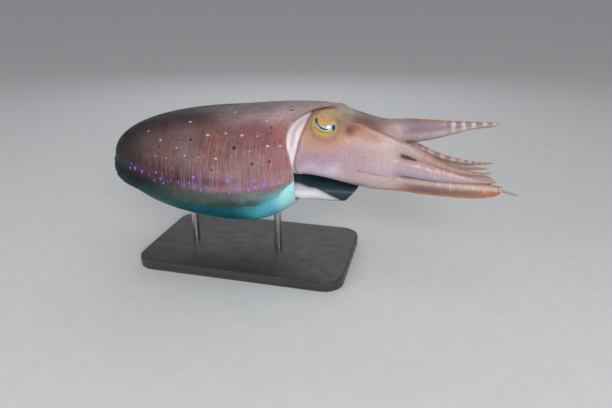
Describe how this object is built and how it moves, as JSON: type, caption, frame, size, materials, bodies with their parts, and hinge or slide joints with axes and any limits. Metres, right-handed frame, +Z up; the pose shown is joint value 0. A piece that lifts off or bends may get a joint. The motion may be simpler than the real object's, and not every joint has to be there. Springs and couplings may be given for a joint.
{
  "type": "broadclub cuttlefish",
  "caption": "Broadclub cuttlefish, life size, swimming level with its arms held forward, on a flat base with two rods.",
  "frame": {"origin": "centre of the base's underside", "axes": "+X from the tail to the arm tips, +Y to the animal's left, +Z up"},
  "size_m": [0.6476, 0.2488, 0.2642],
  "materials": {
    "mantle_skin": "satin",
    "fin_skin": "satin",
    "head_skin": "satin",
    "arm_skin": "satin",
    "pale_skin": "satin",
    "eye": "polished",
    "steel": "brushed",
    "board": "matte"
  },
  "bodies": {
    "root": {"mantle": "mantle_skin", "fin_right": "fin_skin", "fin_left": "fin_skin", "head": "head_skin", "eye_right": "eye", "eye_left": "eye", "arm_right_1": "arm_skin", "arm_right_2": "arm_skin", "arm_right_3": "arm_skin", "arm_right_4": "arm_skin", "arm_left_1": "arm_skin", "arm_left_2": "arm_skin", "arm_left_3": "arm_skin", "arm_left_4": "arm_skin", "tentacle_right": "pale_skin", "tentacle_left": "pale_skin", "funnel": "pale_skin", "stand_base": "board", "stand_rod_front": "steel", "stand_rod_rear": "steel"}
  },
  "joints": []
}
